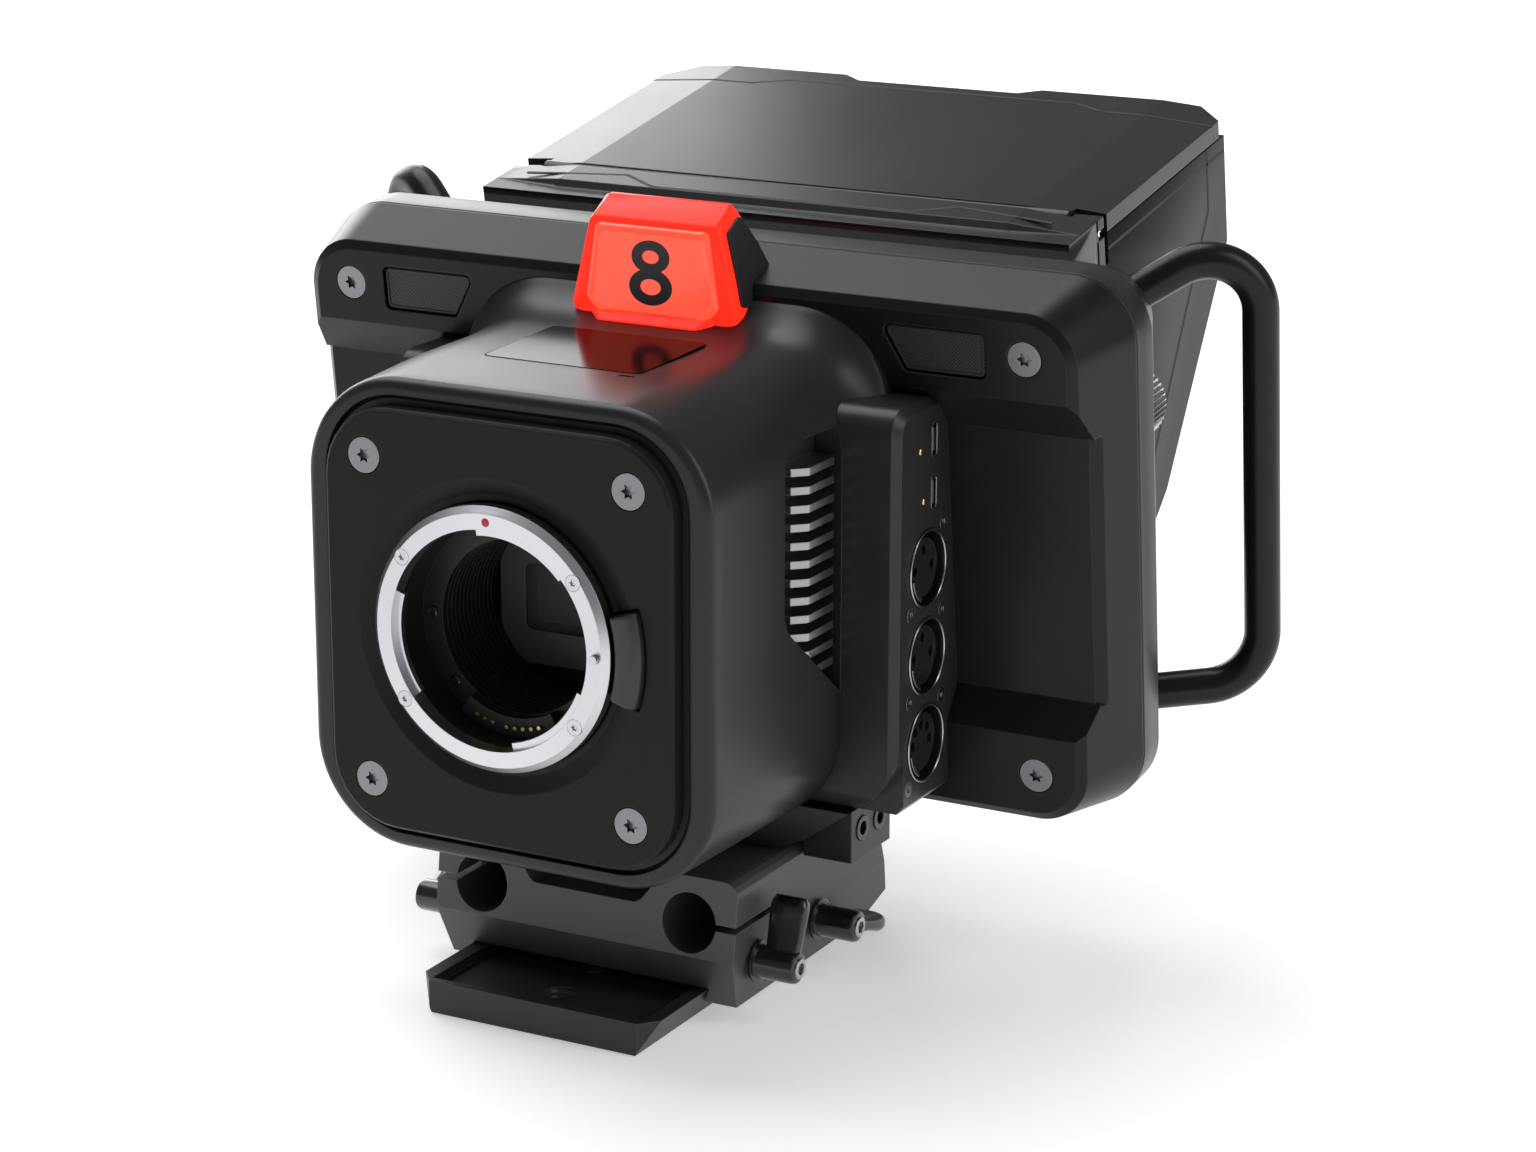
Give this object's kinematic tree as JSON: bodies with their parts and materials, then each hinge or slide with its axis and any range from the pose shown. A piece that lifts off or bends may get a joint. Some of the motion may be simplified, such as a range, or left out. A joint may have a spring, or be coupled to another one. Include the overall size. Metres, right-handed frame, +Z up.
{
  "type": "studio camera",
  "caption": "Box-bodied studio camera with a bayonet lens mount, tally lamp, rear monitor housing with side handles, folding sun hood, rod clamp base and sliding tripod plate.",
  "frame": {"origin": "centre of the tripod thread in the underside of the sliding plate, on the plane that the camera stands on", "axes": "+Z up, -Y the way the lens looks, +X to the right for someone facing the lens"},
  "size_m": [0.2654, 0.2454, 0.2048],
  "materials": {
    "shell_dark": "fine moulded texture",
    "plate_dark": "fine moulded texture",
    "groove_black": "matte",
    "screw_steel": "blackened steel, worn bright on the head",
    "ring_satin": "satin, lathe-turned",
    "ring_screw_steel": "satin",
    "baffle_black": "flocked matte",
    "contact_gold": "gold plated",
    "button_black": "satin",
    "filter_frame_grey": "matte",
    "filter_glass": "coated glass",
    "sensor_face": "coated cover glass over silicon",
    "board_green": "solder mask",
    "window_black": "polished",
    "tally_red": "translucent red, lit from inside",
    "led_white": "white board with emitters",
    "fin_metal": "dark anodised with bright-cut tips",
    "fan_black": "moulded",
    "pod_dark": "fine moulded texture",
    "socket_dark": "black chrome",
    "socket_nickel": "nickel plated",
    "latch_steel": "pressed steel",
    "jack_black": "moulded",
    "grille_metal": "perforated sheet",
    "lcd_back": "matte",
    "lcd_face": "polished cover glass",
    "dial_metal": "satin, knurled",
    "key_grey": "satin silicone",
    "handle_black": "satin powder coat",
    "hood_black": "fine moulded texture",
    "pin_steel": "ground",
    "base_metal": "dark anodised, bead blasted",
    "lever_black": "gloss black",
    "plate_metal": "black anodised"
  },
  "bodies": {
    "tripod_plate": {"tripod_plate": "plate_metal"},
    "camera": {"body_shell": "shell_dark", "front_plate": "plate_dark", "plate_gasket": "groove_black", "front_plate_screws": "screw_steel", "lens_ring": "ring_satin", "lens_ring_screws": "ring_screw_steel", "throat_liner": "baffle_black", "contact_block": "baffle_black", "contact_pins": "contact_gold", "filter_frame": "filter_frame_grey", "filter_glass": "filter_glass", "image_sensor": "sensor_face", "sensor_board": "board_green", "top_window": "window_black", "tally_base": "window_black", "tally_lens": "tally_red", "tally_led_board": "led_white", "heat_sink_right": "fin_metal", "heat_sink_left": "fin_metal", "fan_frame": "fan_black", "main_board": "board_green", "right_pod": "pod_dark", "xlr_sockets": "socket_dark", "usb_sockets": "socket_nickel", "right_pod_screws": "screw_steel", "left_pod": "pod_dark", "bnc_sockets": "socket_nickel", "hdmi_socket": "socket_nickel", "power_socket": "socket_dark", "audio_jacks": "jack_black", "housing_front": "shell_dark", "housing_rear": "shell_dark", "housing_screws": "screw_steel", "mic_grilles": "grille_metal", "lcd_panel": "lcd_back", "lcd_glass": "lcd_face", "handle_right": "handle_black", "handle_left": "handle_black", "hood_frame": "hood_black", "hood_pins": "pin_steel", "base_mount": "base_metal"},
    "release_button": {"release_button": "button_black"},
    "lock_pin": {"lock_pin": "ring_screw_steel"},
    "xlr_latch_top": {"xlr_latch_top": "latch_steel"},
    "xlr_latch_middle": {"xlr_latch_middle": "latch_steel"},
    "xlr_latch_bottom": {"xlr_latch_bottom": "latch_steel"},
    "thumb_dial": {"thumb_dial": "dial_metal"},
    "rear_button_1": {"rear_button_1": "key_grey"},
    "rear_button_2": {"rear_button_2": "key_grey"},
    "rear_button_3": {"rear_button_3": "key_grey"},
    "rear_button_4": {"rear_button_4": "key_grey"},
    "rear_button_5": {"rear_button_5": "key_grey"},
    "hood_right": {"hood_right": "hood_black"},
    "hood_left": {"hood_left": "hood_black"},
    "hood_top": {"hood_top": "hood_black"},
    "rod_lever_right": {"rod_lever_right": "lever_black"},
    "rod_lever_left": {"rod_lever_left": "lever_black"},
    "plate_lever": {"plate_lever": "lever_black"},
    "fan_rotor": {"fan_rotor": "fan_black"}
  },
  "joints": [
    {"name": "plate_slide", "type": "slide", "parent": "tripod_plate", "child": "camera", "axis": [0, 1, 0], "range_m": [-0.027, 0.027]},
    {"name": "release_push", "type": "slide", "parent": "camera", "child": "release_button", "axis": [0, 1, 0], "range_m": [0, 0.0022], "stiffness_N_per_m": 600, "springref_m": -0.002},
    {"name": "lock_pin_slide", "type": "slide", "parent": "camera", "child": "lock_pin", "axis": [0, 1, 0], "range_m": [0, 0.0022]},
    {"name": "rod_lever_right_turn", "type": "hinge", "parent": "camera", "child": "rod_lever_right", "pos_m": [0.0431, 0.022, 0.015], "axis": [1, 0, 0], "range_deg": [-60, 60]},
    {"name": "rod_lever_left_turn", "type": "hinge", "parent": "camera", "child": "rod_lever_left", "pos_m": [-0.0431, 0.022, 0.015], "axis": [1, 0, 0], "range_deg": [-60, 60]},
    {"name": "plate_lever_turn", "type": "hinge", "parent": "camera", "child": "plate_lever", "pos_m": [0.0431, 0.0545, 0.015], "axis": [1, 0, 0], "range_deg": [-15, 95]},
    {"name": "xlr_latch_top_push", "type": "slide", "parent": "camera", "child": "xlr_latch_top", "axis": [-1, 0, 0], "range_m": [0, 0.0016], "stiffness_N_per_m": 400, "springref_m": -0.002},
    {"name": "xlr_latch_middle_push", "type": "slide", "parent": "camera", "child": "xlr_latch_middle", "axis": [-1, 0, 0], "range_m": [0, 0.0016], "stiffness_N_per_m": 400, "springref_m": -0.002},
    {"name": "xlr_latch_bottom_push", "type": "slide", "parent": "camera", "child": "xlr_latch_bottom", "axis": [-1, 0, 0], "range_m": [0, 0.0016], "stiffness_N_per_m": 400, "springref_m": -0.002},
    {"name": "thumb_dial_turn", "type": "hinge", "parent": "camera", "child": "thumb_dial", "pos_m": [0.101, 0.10799, 0.14499], "axis": [0, 0.9934, 0.1149], "continuous": true},
    {"name": "rear_button_1_push", "type": "slide", "parent": "camera", "child": "rear_button_1", "axis": [0, -0.9934, -0.1149], "range_m": [0, 0.0012], "stiffness_N_per_m": 400, "springref_m": -0.001},
    {"name": "rear_button_2_push", "type": "slide", "parent": "camera", "child": "rear_button_2", "axis": [0, -0.9934, -0.1149], "range_m": [0, 0.0012], "stiffness_N_per_m": 400, "springref_m": -0.001},
    {"name": "rear_button_3_push", "type": "slide", "parent": "camera", "child": "rear_button_3", "axis": [0, -0.9934, -0.1149], "range_m": [0, 0.0012], "stiffness_N_per_m": 400, "springref_m": -0.001},
    {"name": "rear_button_4_push", "type": "slide", "parent": "camera", "child": "rear_button_4", "axis": [0, -0.9934, -0.1149], "range_m": [0, 0.0012], "stiffness_N_per_m": 400, "springref_m": -0.001},
    {"name": "rear_button_5_push", "type": "slide", "parent": "camera", "child": "rear_button_5", "axis": [0, -0.9934, -0.1149], "range_m": [0, 0.0012], "stiffness_N_per_m": 400, "springref_m": -0.001},
    {"name": "fan_spin", "type": "hinge", "parent": "camera", "child": "fan_rotor", "pos_m": [0, 0.039, 0.105], "axis": [0, 1, 0], "continuous": true},
    {"name": "hood_right_fold", "type": "hinge", "parent": "camera", "child": "hood_right", "pos_m": [0.0845, 0.1354, 0.13036], "axis": [0, -0.1754, 0.9845], "range_deg": [0, 88]},
    {"name": "hood_left_fold", "type": "hinge", "parent": "camera", "child": "hood_left", "pos_m": [-0.0845, 0.1354, 0.13036], "axis": [0, -0.1754, 0.9845], "range_deg": [-88, 0]},
    {"name": "hood_top_lift", "type": "hinge", "parent": "camera", "child": "hood_top", "pos_m": [0, 0.12542, 0.18638], "axis": [1, 0, 0], "range_deg": [0, 30]}
  ],
  "couplings": [
    {"joint": "lock_pin_slide", "follows": "release_push", "ratio": 1}
  ]
}
